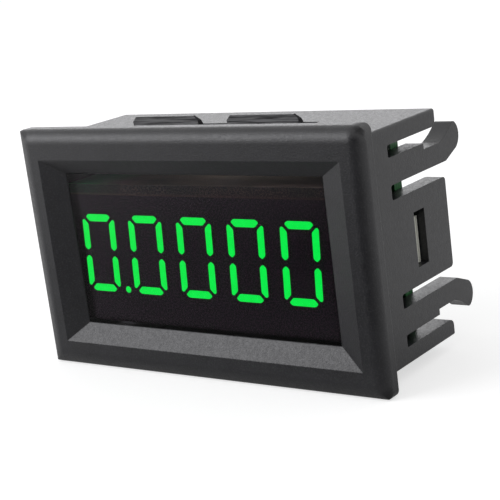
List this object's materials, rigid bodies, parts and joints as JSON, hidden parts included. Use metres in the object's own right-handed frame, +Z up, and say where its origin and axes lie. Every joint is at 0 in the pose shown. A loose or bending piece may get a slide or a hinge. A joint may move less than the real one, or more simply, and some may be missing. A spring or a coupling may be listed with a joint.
{
  "type": "digital panel meter",
  "caption": "Snap-in digital panel meter: black housing with bevelled bezel and spring arms, tinted window, green seven-segment display and open-backed circuit board.",
  "frame": {"origin": "centre of the panel cut-out, on the back face of the bezel", "axes": "+X to the right seen from the front, +Y back into the panel, +Z up"},
  "size_m": [0.048, 0.0227, 0.029],
  "materials": {
    "housing_plastic": "semi-gloss",
    "filter_acrylic": "gloss",
    "display_epoxy": "satin",
    "segment_lit": "gloss",
    "segment_unlit": "satin",
    "board_laminate": "satin",
    "solder": "gloss",
    "tinned_lead": "satin",
    "chip_moulding": "matte",
    "resistor_body": "gloss",
    "capacitor_body": "satin",
    "can_aluminium": "satin",
    "base_plastic": "matte",
    "connector_nylon": "satin"
  },
  "bodies": {
    "root": {"housing": "housing_plastic", "filter_window": "filter_acrylic", "display_case": "display_epoxy", "lit_segments": "segment_lit", "unlit_segments": "segment_unlit", "circuit_board": "board_laminate", "display_pins": "tinned_lead", "display_solder": "solder", "microcontroller_body": "chip_moulding", "microcontroller_leads": "tinned_lead", "converter_body": "chip_moulding", "converter_leads": "tinned_lead", "regulator_body": "chip_moulding", "regulator_leads": "tinned_lead", "driver_bodies": "chip_moulding", "driver_leads": "tinned_lead", "resistor_chips": "resistor_body", "resistor_ends": "solder", "capacitor_chips": "capacitor_body", "capacitor_ends": "solder", "smoothing_capacitor_base": "base_plastic", "smoothing_capacitor_can": "can_aluminium", "protection_diode_body": "chip_moulding", "protection_diode_leads": "tinned_lead", "connector_shroud": "connector_nylon", "connector_pins": "tinned_lead", "connector_solder": "solder"}
  },
  "joints": []
}
